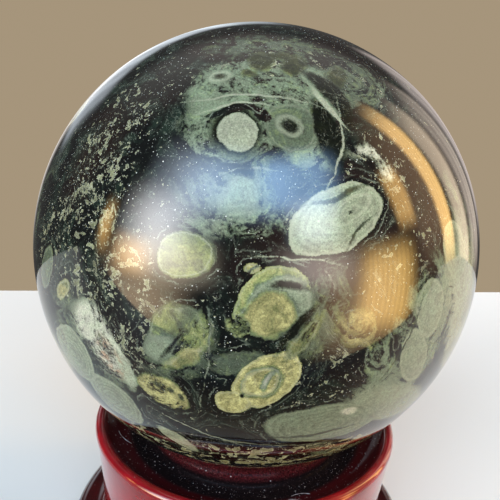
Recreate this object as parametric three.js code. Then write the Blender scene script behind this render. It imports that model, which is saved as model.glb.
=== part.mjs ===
// A polished jasper sphere resting in its turned, red-lacquered wooden stand.
// Millimetres, +Z up. The origin is the middle of the stand's underside.

import * as THREE from 'three';

// Stone sphere
const SPHERE_DIAMETER = 100;
const SPHERE_RADIUS = SPHERE_DIAMETER / 2;
const SPHERE_DETAIL = 13; // 20 * (detail + 1)^2 facets

// Wooden stand, as radii from the axis and heights above the table
const STAND_HEIGHT = 35.1;
const STAND_SIDES = 72;
const FOOT_RADIUS = 45;
const FOOT_HEIGHT = 6.2;
const FOOT_TOP_ROUND = 3.7;
const FOOT_BASE_ROUND = 1;
const WAIST_RADIUS = 36.3;
const WAIST_HEIGHT = 10;
const LIP_OUTER_RADIUS = 38.3;
const LIP_ROUND = 1.3;
const LIP_OUTER_ANGLE = -9; // degrees round the lip at which the wall ends
const LIP_INNER_ANGLE = 150; // degrees round the lip at which the dish begins
const WALL_BEND_RADIUS = 36.5;
const WALL_BEND_HEIGHT = 22;

// Dish: a concave slope falls from the lip to a narrow groove, and a rounded ring inside it carries the sphere
const RING_RADIUS = 22.7;
const RING_ROUND = 2.4;
const RING_OUTER_ANGLE = -20; // degrees round the ring at which the groove begins
const GROOVE_RADIUS = 26.2;
const GROOVE_HEIGHT = 30;
const SLOPE_BEND_RADIUS = 32.6;
const SLOPE_BEND_HEIGHT = 30.4;
const SPHERE_GAP = 0.3; // clearance between the two solids where stone meets wood

// Well under the sphere
const WELL_FLOOR_HEIGHT = 25.5;
const WELL_ROUND = 2;

// Places that follow from the sizes above
const SPHERE_CENTRE_HEIGHT = 79;
const SEAT_REACH = SPHERE_RADIUS + SPHERE_GAP + RING_ROUND;
const RING_HEIGHT = SPHERE_CENTRE_HEIGHT - Math.sqrt(SEAT_REACH ** 2 - RING_RADIUS ** 2);
const LIP_CENTRE = new THREE.Vector2(LIP_OUTER_RADIUS - LIP_ROUND, STAND_HEIGHT - LIP_ROUND);

// Steps along the rounded stretches of the stand's section
const ARC_STEPS = 6;
const CURVE_STEPS = 4;

const jasper = new THREE.MeshStandardMaterial({
  name: 'polished_jasper',
  color: 0x2b3329,
  roughness: 0.08,
  metalness: 0,
});

const lacquer = new THREE.MeshStandardMaterial({
  name: 'red_lacquer',
  color: 0x7d0b12,
  roughness: 0.15,
  metalness: 0,
});

function pointAt(centre, radius, degrees) {
  const angle = THREE.MathUtils.degToRad(degrees);
  return new THREE.Vector2(
    centre.x + radius * Math.cos(angle),
    centre.y + radius * Math.sin(angle),
  );
}

function arc(centre, radius, fromDegrees, toDegrees, steps = ARC_STEPS) {
  const points = [];
  for (let step = 0; step <= steps; step += 1) {
    const degrees = THREE.MathUtils.lerp(fromDegrees, toDegrees, step / steps);
    points.push(pointAt(centre, radius, degrees));
  }
  return points;
}

function bend(start, middle, end, steps = CURVE_STEPS) {
  return new THREE.QuadraticBezierCurve(start, middle, end).getPoints(steps);
}

// Each stretch of the section is a list of points, and neighbours share an end point.
function joined(stretches) {
  const closest = 1e-6;
  const points = [];
  for (const point of stretches.flat()) {
    const last = points.at(-1);
    if (!last || last.distanceTo(point) > closest) {
      points.push(point);
    }
  }
  return points;
}

function footSection() {
  const baseCentre = new THREE.Vector2(FOOT_RADIUS - FOOT_BASE_ROUND, FOOT_BASE_ROUND);
  const topCentre = new THREE.Vector2(FOOT_RADIUS - FOOT_TOP_ROUND, FOOT_HEIGHT - FOOT_TOP_ROUND);
  return [
    [new THREE.Vector2(0, 0)],
    arc(baseCentre, FOOT_BASE_ROUND, -90, 0, 2),
    arc(topCentre, FOOT_TOP_ROUND, 0, 90),
  ];
}

function wallSection() {
  const waist = new THREE.Vector2(WAIST_RADIUS, WAIST_HEIGHT);
  const wallBend = new THREE.Vector2(WALL_BEND_RADIUS, WALL_BEND_HEIGHT);
  const wallTop = pointAt(LIP_CENTRE, LIP_ROUND, LIP_OUTER_ANGLE);
  const coveStart = new THREE.Vector2(FOOT_RADIUS - FOOT_TOP_ROUND, FOOT_HEIGHT);
  const coveMiddle = new THREE.Vector2(WAIST_RADIUS, FOOT_HEIGHT);
  return [
    bend(coveStart, coveMiddle, waist),
    bend(waist, wallBend, wallTop),
    arc(LIP_CENTRE, LIP_ROUND, LIP_OUTER_ANGLE, LIP_INNER_ANGLE),
  ];
}

function dishSection() {
  const lipInner = pointAt(LIP_CENTRE, LIP_ROUND, LIP_INNER_ANGLE);
  const slopeBend = new THREE.Vector2(SLOPE_BEND_RADIUS, SLOPE_BEND_HEIGHT);
  const groove = new THREE.Vector2(GROOVE_RADIUS, GROOVE_HEIGHT);
  const ringCentre = new THREE.Vector2(RING_RADIUS, RING_HEIGHT);
  const ringInner = new THREE.Vector2(RING_RADIUS - RING_ROUND, RING_HEIGHT);
  const wellCentre = new THREE.Vector2(ringInner.x - WELL_ROUND, WELL_FLOOR_HEIGHT + WELL_ROUND);
  return [
    bend(lipInner, slopeBend, groove),
    arc(ringCentre, RING_ROUND, RING_OUTER_ANGLE, 180),
    arc(wellCentre, WELL_ROUND, 0, -90, 3),
    [new THREE.Vector2(0, WELL_FLOOR_HEIGHT)],
  ];
}

function makeStand() {
  const section = joined([...footSection(), ...wallSection(), ...dishSection()]);
  const geometry = new THREE.LatheGeometry(section, STAND_SIDES);
  geometry.rotateX(Math.PI / 2); // a lathe turns about Y
  const stand = new THREE.Mesh(geometry, lacquer);
  stand.name = 'wooden_stand';
  return stand;
}

function makeSphere() {
  const geometry = new THREE.IcosahedronGeometry(SPHERE_RADIUS, SPHERE_DETAIL);
  const sphere = new THREE.Mesh(geometry, jasper);
  sphere.name = 'jasper_sphere';
  sphere.position.z = SPHERE_CENTRE_HEIGHT;
  return sphere;
}

const part = new THREE.Group();
part.name = 'jasper_sphere_on_stand';
part.add(makeStand());
part.add(makeSphere());

export default part;
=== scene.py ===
"""A polished jasper sphere on its turned, red-lacquered stand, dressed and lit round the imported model."""
import math
import random
from typing import NamedTuple

import bmesh
import bpy
from bpy.props import FloatProperty, FloatVectorProperty, IntProperty, PointerProperty
from mathutils import Matrix, Vector


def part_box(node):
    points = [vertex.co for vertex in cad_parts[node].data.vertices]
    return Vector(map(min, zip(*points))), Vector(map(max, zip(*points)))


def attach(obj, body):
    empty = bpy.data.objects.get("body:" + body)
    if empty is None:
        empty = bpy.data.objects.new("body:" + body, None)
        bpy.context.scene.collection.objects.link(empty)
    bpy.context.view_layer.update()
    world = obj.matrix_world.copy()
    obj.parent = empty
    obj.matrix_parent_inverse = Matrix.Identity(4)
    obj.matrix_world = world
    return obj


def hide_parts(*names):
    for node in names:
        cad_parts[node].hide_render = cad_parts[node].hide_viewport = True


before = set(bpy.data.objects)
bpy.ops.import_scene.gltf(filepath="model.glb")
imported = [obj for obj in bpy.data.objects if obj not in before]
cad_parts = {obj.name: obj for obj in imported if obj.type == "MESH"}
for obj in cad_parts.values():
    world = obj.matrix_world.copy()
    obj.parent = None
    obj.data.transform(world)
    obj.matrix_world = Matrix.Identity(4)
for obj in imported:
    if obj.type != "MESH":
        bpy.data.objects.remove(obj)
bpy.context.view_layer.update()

SPHERE_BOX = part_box("jasper_sphere")

bl_info = {
    "name": "Jasper Sphere on a Stand",
    "version": (1, 0, 0),
    "blender": (4, 5, 0),
    "location": "3D View > Sidebar > Jasper",
    "description": "Polishes a jasper sphere, turns its lacquered stand and sets a plain studio round them",
    "category": "Object",
}

MM = 0.001
RIGHT_ANGLE = math.radians(90)
WELD_DISTANCE = 1e-7  # metres, within which two vertices are one

SPHERE_RADIUS = 50 * MM
SPHERE_HEIGHT = (SPHERE_BOX[0][2] + SPHERE_BOX[1][2]) / 2
SPHERE_GAP = 0.3 * MM  # clearance between the stone and the ring that carries it

# The stand's section: what its settings don't hold, as radii from the axis and heights above the table
FOOT_TOP_ROUND = 3.7 * MM
FOOT_BASE_ROUND = 1.0 * MM
WAIST_HEIGHT = 10 * MM
WALL_BEND = (36.5 * MM, 22 * MM)
LIP_ROUND = 1.3 * MM
LIP_OUTER_ANGLE = -9  # degrees round the lip at which the wall ends
LIP_INNER_ANGLE = 150  # degrees round the lip at which the dish begins
SLOPE_BEND = (32.6 * MM, 30.4 * MM)
GROOVE_HEIGHT = 30 * MM
RING_ROUND = 2.4 * MM
RING_OUTER_ANGLE = -20  # degrees round the ring at which the groove begins
WELL_FLOOR_HEIGHT = 25.5 * MM
WELL_ROUND = 2 * MM


# Settings

class JasperSphereSettings(bpy.types.PropertyGroup):
    """Size and stone of the polished sphere."""

    radius: FloatProperty(
        name="Radius", description="Radius of the polished sphere", default=SPHERE_RADIUS, unit="LENGTH")
    centre_height: FloatProperty(
        name="Centre height", description="Height of the sphere's centre above the table",
        default=SPHERE_HEIGHT, unit="LENGTH")
    smoothness: IntProperty(
        name="Smoothness", description="How many times the ball of triangles is divided",
        default=7, min=4, max=7)
    ground: FloatVectorProperty(
        name="Ground", description="Colour of the nearly black stone between the eyes",
        subtype="COLOR", default=(0.0022, 0.0028, 0.0027), min=0.0, max=1.0)
    smoke: FloatVectorProperty(
        name="Smoke", description="Colour of the dark green clouds in the ground",
        subtype="COLOR", default=(0.0075, 0.0135, 0.0095), min=0.0, max=1.0)
    fleck: FloatVectorProperty(
        name="Fleck", description="Colour of the cream flecks",
        subtype="COLOR", default=(0.21, 0.22, 0.15), min=0.0, max=1.0)
    seed: IntProperty(name="Seed", description="Seed for the eyes on the sides and the back", default=11)


class StandSettings(bpy.types.PropertyGroup):
    """Sizes and finish of the turned wooden stand."""

    height: FloatProperty(
        name="Height", description="Height of the lip above the table", default=0.0351, unit="LENGTH")
    foot_radius: FloatProperty(
        name="Foot radius", description="Radius of the foot", default=0.045, unit="LENGTH")
    foot_height: FloatProperty(
        name="Foot height", description="Height of the foot's flat top", default=0.0062, unit="LENGTH")
    waist_radius: FloatProperty(
        name="Waist radius", description="Radius of the cup's narrowest place", default=0.0363, unit="LENGTH")
    lip_radius: FloatProperty(
        name="Lip radius", description="Widest radius of the lip", default=0.0383, unit="LENGTH")
    ring_radius: FloatProperty(
        name="Ring radius", description="Radius of the ring that carries the sphere",
        default=0.0227, unit="LENGTH")
    groove_radius: FloatProperty(
        name="Groove radius", description="Radius of the groove round the ring",
        default=0.0262, unit="LENGTH")
    sides: IntProperty(name="Sides", description="Steps round the turned stand", default=192, min=24, max=256)
    lacquer: FloatVectorProperty(
        name="Lacquer", description="Colour of the lacquer on the wall and the foot",
        subtype="COLOR", default=(0.22, 0.0045, 0.008), min=0.0, max=1.0)
    # The dish colour is painted shade: the lacquer under the sphere is painted near black.
    dish: FloatVectorProperty(
        name="Dish", description="Colour of the lacquer inside the dish",
        subtype="COLOR", default=(0.034, 0.0012, 0.002), min=0.0, max=1.0)
    grains: IntProperty(name="Grains", description="Grains of dust in the dish", default=900, min=0, max=2000)
    fibres: IntProperty(name="Fibres", description="Fibres of lint in the dish", default=9, min=0, max=60)
    seed: IntProperty(name="Seed", description="Seed for the dust", default=5)


class StudioSettings(bpy.types.PropertyGroup):
    """Camera, table and light."""

    lens: FloatProperty(
        name="Lens", description="Focal length on a 36 mm wide frame", default=36.0, unit="CAMERA")
    camera_place: FloatVectorProperty(
        name="Camera place", description="Where the camera stands",
        subtype="XYZ", unit="LENGTH", default=(0.0, -0.11905, 0.10829))
    camera_pitch: FloatProperty(
        name="Camera pitch", description="How far the camera looks down",
        default=math.radians(14.34), subtype="ANGLE")
    camera_roll: FloatProperty(
        name="Camera roll", description="How far the camera leans",
        default=math.radians(3.37), subtype="ANGLE")
    camera_turn: FloatProperty(
        name="Camera turn", description="How far the camera is aimed to the left",
        default=math.radians(0.6), subtype="ANGLE")
    floor: FloatVectorProperty(
        name="Floor", description="Colour of the table top",
        subtype="COLOR", default=(0.75, 0.685, 0.59), min=0.0, max=1.0)
    floor_length: FloatProperty(
        name="Floor length", description="Length of the table top", default=2.4, unit="LENGTH")
    floor_far_edge: FloatProperty(
        name="Floor far edge", description="Distance of the table's edge behind the stand",
        default=0.1914, unit="LENGTH")
    floor_near_edge: FloatProperty(
        name="Floor near edge", description="Distance of the table's edge before the stand",
        default=0.13, unit="LENGTH")
    floor_turn: FloatProperty(
        name="Floor turn", description="How far the table is turned under the stand",
        default=math.radians(10.2), subtype="ANGLE")
    shade_size: FloatVectorProperty(
        name="Shade size", description="Width and height of the dark card low in front",
        size=2, default=(0.20, 0.085), unit="LENGTH")
    shade_distance: FloatProperty(
        name="Shade distance", description="Distance of the dark card from the stand's axis",
        default=0.13, unit="LENGTH")
    backdrop: FloatVectorProperty(
        name="Backdrop", description="Colour behind the table",
        subtype="COLOR", default=(0.38, 0.30, 0.20), min=0.0, max=1.0)
    fill: FloatProperty(
        name="Fill", description="Share of the mirrored light that falls on the surfaces",
        default=0.72, min=0.0, max=2.0)
    room: FloatVectorProperty(
        name="Room", description="Dim light from all round",
        subtype="COLOR", default=(0.075, 0.072, 0.07), min=0.0, max=1.0)


# Node wiring

class Wiring:
    """Adds nodes to one tree. Each call makes one node and gives back its output."""

    def __init__(self, tree):
        self.tree = tree

    def feed(self, node, inputs):
        """Links the sockets among the inputs to the node, and sets the numbers, vectors and colours on it."""
        for key, value in inputs.items():
            if value is None:
                continue
            socket = node.inputs[key]
            if isinstance(value, bpy.types.NodeSocket):
                self.tree.links.new(value, socket)
            elif isinstance(value, (int, float)) or len(value) == len(socket.default_value):
                socket.default_value = value
            else:
                socket.default_value = (*value, 1.0)

    def node(self, kind, inputs, out=0, **settings):
        node = self.tree.nodes.new(kind)
        for name, value in settings.items():
            setattr(node, name, value)
        self.feed(node, inputs)
        return node.outputs[out] if node.outputs else None

    def object_place(self):
        return self.node("ShaderNodeTexCoord", {}, out="Object")

    def math(self, operation, a, b=None, c=None):
        return self.node("ShaderNodeMath", {0: a, 1: b, 2: c}, operation=operation)

    def add(self, a, b):
        return self.math("ADD", a, b)

    def subtract(self, a, b):
        return self.math("SUBTRACT", a, b)

    def times(self, a, b):
        return self.math("MULTIPLY", a, b)

    def times_add(self, a, b, c):
        return self.math("MULTIPLY_ADD", a, b, c)

    def highest(self, a, b):
        return self.math("MAXIMUM", a, b)

    def size_of(self, a):
        return self.math("ABSOLUTE", a)

    def step(self, value, start, end, low=0.0, high=1.0):
        """A soft step from low, where value is start, to high, where it is end."""
        inputs = {0: value, 1: start, 2: end, 3: low, 4: high}
        return self.node("ShaderNodeMapRange", inputs, interpolation_type="SMOOTHSTEP", clamp=False)

    def ramp(self, value, start, end, low, high):
        """A straight run from low to high that stops at both ends."""
        return self.node("ShaderNodeMapRange", {0: value, 1: start, 2: end, 3: low, 4: high}, clamp=True)

    def vector(self, operation, a, b=None):
        out = "Value" if operation in {"LENGTH", "DOT_PRODUCT", "DISTANCE"} else "Vector"
        return self.node("ShaderNodeVectorMath", {0: a, 1: b}, out=out, operation=operation)

    def scaled(self, vector, scale):
        """A vector made longer or shorter, or a colour made lighter or darker."""
        return self.node("ShaderNodeVectorMath", {0: vector, "Scale": scale}, operation="SCALE")

    def combine(self, x, y, z):
        return self.node("ShaderNodeCombineXYZ", {0: x, 1: y, 2: z})

    def separate(self, vector):
        node = self.node("ShaderNodeSeparateXYZ", {0: vector}).node
        return node.outputs[0], node.outputs[1], node.outputs[2]

    def mapping(self, vector, place=(0, 0, 0), turn=(0, 0, 0), scale=(1, 1, 1)):
        """A vector as seen from a place, in turned and scaled axes."""
        inputs = {"Vector": vector, "Location": place, "Rotation": turn, "Scale": scale}
        return self.node("ShaderNodeMapping", inputs, vector_type="TEXTURE")

    def noise(self, vector, scale, detail=2.0, roughness=0.5, distortion=0.0, out="Fac"):
        inputs = {"Vector": vector, "Scale": scale}
        inputs.update({"Detail": detail, "Roughness": roughness, "Distortion": distortion})
        return self.node("ShaderNodeTexNoise", inputs, out=out)

    def cells(self, vector, scale):
        """Scattered points: how far the nearest one is, and two chance numbers that belong to it."""
        distance = self.node("ShaderNodeTexVoronoi", {"Vector": vector, "Scale": scale})
        chances = self.node("ShaderNodeSeparateColor", {0: distance.node.outputs["Color"]}).node
        return distance, chances.outputs[0], chances.outputs[1]

    def mix(self, factor, a, b):
        """Mixes two numbers."""
        return self.node("ShaderNodeMix", {0: factor, 2: a, 3: b}, data_type="FLOAT")

    def mix_vectors(self, factor, a, b):
        return self.node("ShaderNodeMix", {0: factor, 4: a, 5: b}, out=1, data_type="VECTOR")

    def mix_colours(self, factor, a, b):
        return self.node("ShaderNodeMix", {0: factor, 6: a, 7: b}, out=2, data_type="RGBA")

    def colour_ramp(self, value, stops):
        out = self.node("ShaderNodeValToRGB", {0: value})
        elements = out.node.color_ramp.elements
        while len(elements) < len(stops):
            elements.new(0.5)
        for element, (position, colour) in zip(elements, stops):
            element.position = position
            element.color = (*colour, 1.0)
        return out

    def bump(self, height, strength, distance):
        return self.node("ShaderNodeBump", {"Strength": strength, "Distance": distance, "Height": height})


def new_material(name):
    material = bpy.data.materials.new(name)
    material.use_nodes = True
    nodes = material.node_tree.nodes
    return material, Wiring(material.node_tree), nodes["Principled BSDF"]


# Markings of the jasper. Places are in degrees: azimuth from the front, positive to the right, and elevation
# above the sphere's middle. Sizes are the full length and width in millimetres. Turn is in degrees from the
# east towards the north.

# How a marking is filled: tone along the row of stone colours, lightness, cover, concentric lines, pale rim
FILLS = {
    "pale": (0.20, 0.84, 1.0, 0.10, 0.3),
    "sage": (0.34, 1.0, 1.0, 0.20, 0.3),
    "ringed": (0.31, 0.95, 1.0, 0.50, 0.35),
    "hazy": (0.40, 1.02, 0.92, 0.45, 0.2),
    "leaf": (0.30, 1.06, 1.0, 0.40, 0.7),
    "tan": (0.80, 0.70, 0.70, 0.20, 0.0),
    "green": (0.52, 1.15, 1.0, 0.20, 0.35),
    "flow": (0.46, 1.15, 0.62, 0.20, 0.0),
    "dark_flow": (0.50, 0.62, 0.56, 0.20, 0.0),
    "bright_green": (0.64, 1.10, 1.0, 0.25, 0.4),
    "moss": (0.60, 0.86, 1.0, 0.20, 0.6),
    "dark_green": (0.50, 0.62, 0.8, 0.15, 0.15),
    "deep_green": (0.50, 0.72, 1.0, 0.25, 0.25),
    "olive": (0.74, 0.90, 1.0, 0.30, 0.5),
    "yellow": (0.82, 1.45, 1.0, 0.30, 0.4),
    "brown": (0.66, 0.62, 0.7, 0.30, 0.3),
    # A pale fill for a painted reflection of the table in the polish
    "painted_reflection": (0.24, 0.95, 0.85, 0.0, 0.0),
    "cream": (0.10, 1.08, 0.66, 0.0, 0.0),
    "line": (0.16, 0.85, 0.9, 0.00, 0.0),
    "faint_line": (0.22, 0.60, 0.7, 0.00, 0.0),
    "black": (0.50, 0.04, 1.0, 0.00, 0.0),
    "blotch": (0.62, 0.14, 0.9, 0.00, 0.1),
    "lace": (0.80, 1.35, 0.66, 0.0, 0.2),
    "leafy": (0.24, 1.25, 1.0, 0.0, 0.3),
    "scribble": (0.64, 0.95, 0.50, 0.10, 0.2),
    "core": (0.76, 0.95, 1.0, 0.0, 0.0),
    "ground": (0.50, 0.00, 0.0, 0.00, 0.0),
}

# The stone's colours, from cream through sage and green to yellow-olive
STONE_COLOURS = (
    (0.00, (0.40, 0.40, 0.31)),
    (0.16, (0.215, 0.235, 0.165)),
    (0.32, (0.145, 0.172, 0.112)),
    (0.50, (0.072, 0.096, 0.060)),
    (0.63, (0.118, 0.145, 0.056)),
    (0.76, (0.165, 0.158, 0.066)),
    (1.00, (0.262, 0.262, 0.108)),
)

# Colours of the layers round and over the fillings
EARTH_BROWN = (0.0095, 0.0052, 0.0042)
WISP_GREEN = (0.034, 0.044, 0.034)
GRIT_GREY = (0.085, 0.095, 0.072)
THREAD_GREEN = (0.095, 0.115, 0.085)
CONTOUR_GREEN = (0.125, 0.15, 0.108)
EDGE_BLACK = (0.003, 0.0035, 0.003)
RIM_CREAM = (0.235, 0.255, 0.18)
VEIN_CREAM = (0.20, 0.215, 0.15)
RUST = (0.29, 0.165, 0.095)
FLECK_OLIVE = (0.115, 0.125, 0.068)


class Marking(NamedTuple):
    """One rounded marking, with a soft edge in mm. Taper narrows one end of it, and bend arches it."""

    name: str
    azimuth: float
    elevation: float
    length: float
    width: float
    turn: float
    fill: str
    softness: float
    taper: float = 0.0
    bend: float = 0.0


FRONT_FIELDS = (
    Marking("top_field", -5.1, 44.2, 20.0, 14.0, 0, "flow", 1.6),
    Marking("top_field_right", 9.0, 45.0, 17.0, 12.0, -20, "flow", 1.6),
    Marking("field_over_the_top", 2.0, 58.0, 24.0, 9.0, 0, "dark_flow", 3.0),
    Marking("field_round_upper_eyes", -1.0, 33.0, 24.0, 15.0, -10, "flow", 1.6),
    Marking("field_round_middle_eye", -2.0, 23.0, 22.0, 12.0, 10, "dark_flow", 1.8),
    Marking("band_under_middle_eye", -1.5, 17.4, 19.0, 4.4, 8, "flow", 0.9, bend=-0.4),
    Marking("haze_round_left_lower_eye", -13.0, -6.0, 15.0, 11.0, 45, "dark_flow", 1.6),
    Marking("haze_right_of_big_eye", 12.0, 3.0, 16.0, 9.0, 70, "dark_flow", 1.6),
    Marking("right_top_field", 27.0, 47.0, 14.0, 10.0, 25, "flow", 1.6),
    Marking("right_edge_field", 50.0, 14.0, 26.0, 10.0, -70, "dark_flow", 2.0),
    Marking("right_lower_field", 34.0, -6.0, 32.0, 16.0, 72, "flow", 1.5),
    Marking("bottom_right_band", 34.0, -21.2, 24.0, 9.4, -21, "sage", 1.2),
    Marking("bottom_streak_right", 26.0, -37.0, 17.0, 5.6, -30, "flow", 0.9),
    Marking("left_rim_field", -62.0, 12.0, 20.0, 8.0, 60, "dark_flow", 1.2),
    Marking("left_lower_field", -36.0, -14.0, 26.0, 15.0, -60, "dark_flow", 1.6),
    # Painted reflection: a soft pale field low on the right stands in for the table mirrored in the polish.
    Marking("right_low_painted_reflection", 52.0, -4.0, 34.0, 14.0, -74, "painted_reflection", 2.5),
)

FRONT_EYES = (
    Marking("upper_eye_outline", -5.8, 33.6, 8.6, 7.6, -76, "black", 0.6),
    Marking("upper_round_eye", -5.6, 33.4, 6.9, 6.0, -76, "pale", 0.12),
    Marking("middle_eye", -3.7, 21.9, 7.0, 6.2, 30, "hazy", 1.2),
    Marking("halo_of_cored_eye", 6.1, 35.5, 9.0, 8.1, 56, "deep_green", 0.3),
    Marking("right_top_eye", 25.3, 47.2, 12.4, 10.2, 34, "dark_flow", 0.3),
    Marking("leaf_eye", 14.6, 18.9, 16.6, 9.8, 27, "leaf", 0.12),
    Marking("left_big_eye", -12.2, 11.2, 9.5, 7.3, 13, "moss", 0.3),
    Marking("small_blob", -0.7, 9.7, 2.5, 1.8, 10, "olive", 0.15),
    Marking("big_eye", 3.7, 4.3, 12.6, 10.3, 35, "bright_green", 0.12),
    Marking("dark_green_lobe", -1.2, -7.4, 9.4, 5.0, 16, "dark_green", 0.7),
    Marking("lower_eye", 3.6, -11.0, 13.2, 8.4, 53, "yellow", 0.12),
    Marking("left_lobe", -2.3, -16.3, 5.8, 5.0, 0, "yellow", 0.15),
    Marking("left_lower_eye", -13.1, -3.8, 12.8, 8.0, 48, "deep_green", 0.5),
    Marking("cream_patch_upper", -32.6, -5.4, 9.4, 9.0, 18, "cream", 1.2),
    Marking("cream_patch_lower", -28.0, -10.6, 10.6, 8.6, -66, "cream", 1.2),
    Marking("cream_tail", -24.4, -14.6, 7.6, 3.4, -78, "leafy", 0.7),
    Marking("left_ringed_eye", -31.2, -24.6, 13.0, 11.4, -45, "ringed", 0.2),
    Marking("edge_long_eye", -41.6, -15.6, 13.1, 12.2, 30, "ringed", 0.15),
    Marking("small_upright_eye", -41.1, -0.5, 5.8, 3.0, 51, "olive", 0.12),
    Marking("edge_loop_eye", -49.2, 1.8, 9.2, 4.8, 60, "deep_green", 0.15),
    Marking("mottled_patch", -16.8, -16.6, 9.8, 6.6, -24, "lace", 0.5),
    Marking("pale_tongue", -15.9, -32.4, 9.4, 3.9, -52, "leafy", 0.35, bend=0.3),
    Marking("bottom_long_eye", 17.3, -23.5, 21.4, 10.5, -3, "hazy", 0.4),
    Marking("right_eye_upper", 36.4, 1.1, 10.5, 7.2, -75, "sage", 0.15),
    Marking("right_eye_lower", 34.8, -9.0, 13.0, 6.2, -61, "sage", 0.15),
    Marking("right_eye_inner", 24.4, -6.8, 8.4, 5.4, -73, "flow", 0.6),
    Marking("right_edge_eye", 44.7, 11.4, 11.0, 8.1, -68, "sage", 0.2),
    Marking("tan_eye", 19.8, -0.4, 8.3, 6.2, -40, "tan", 1.1),
)

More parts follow.
